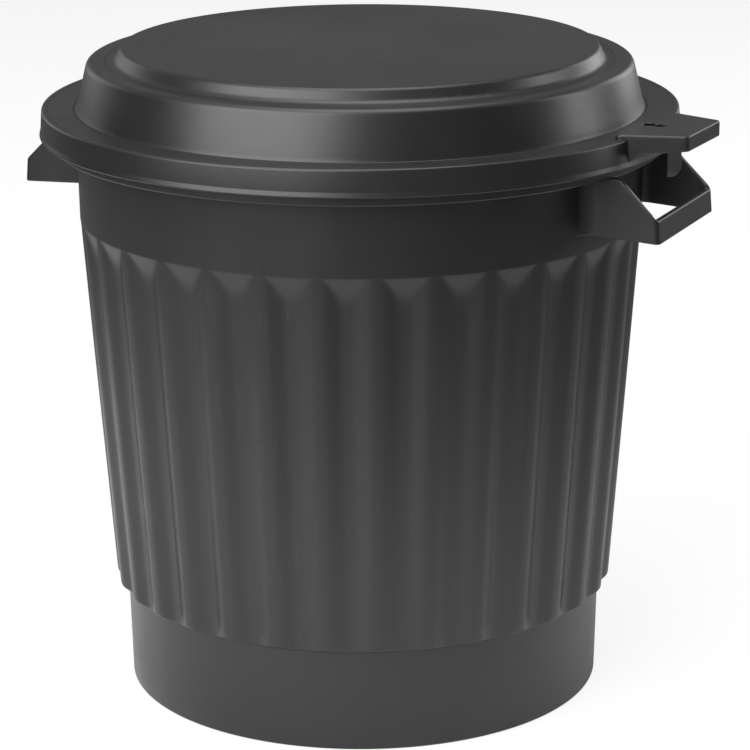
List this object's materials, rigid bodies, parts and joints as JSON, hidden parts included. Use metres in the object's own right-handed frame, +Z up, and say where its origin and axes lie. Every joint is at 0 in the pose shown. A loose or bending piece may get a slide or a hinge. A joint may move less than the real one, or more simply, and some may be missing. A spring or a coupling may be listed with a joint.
{
  "type": "waste bin",
  "caption": "Round fluted waste bin of dark moulded plastic, with fixed carrying loops under its rim and a stepped lift-off lid with a lifting tab.",
  "frame": {"origin": "centre of the flat base, on the floor", "axes": "+Z up along the centre line of the bin; X through the carrying loops, +X on the side of the lid's tab; Y across"},
  "size_m": [0.5587, 0.5012, 0.5239],
  "materials": {
    "bin_plastic": "satin moulded black plastic",
    "lid_plastic": "satin moulded black plastic, slightly smoother than the bin"
  },
  "bodies": {
    "bin": {"bin_tub": "bin_plastic", "carry_loop_left": "bin_plastic", "carry_loop_right": "bin_plastic"},
    "lid": {"lid_cap": "lid_plastic", "lid_tab": "lid_plastic"}
  },
  "joints": [
    {"name": "lid_lift", "type": "slide", "parent": "bin", "child": "lid", "axis": [0, 0, 1], "range_m": [0, 0.3]}
  ]
}
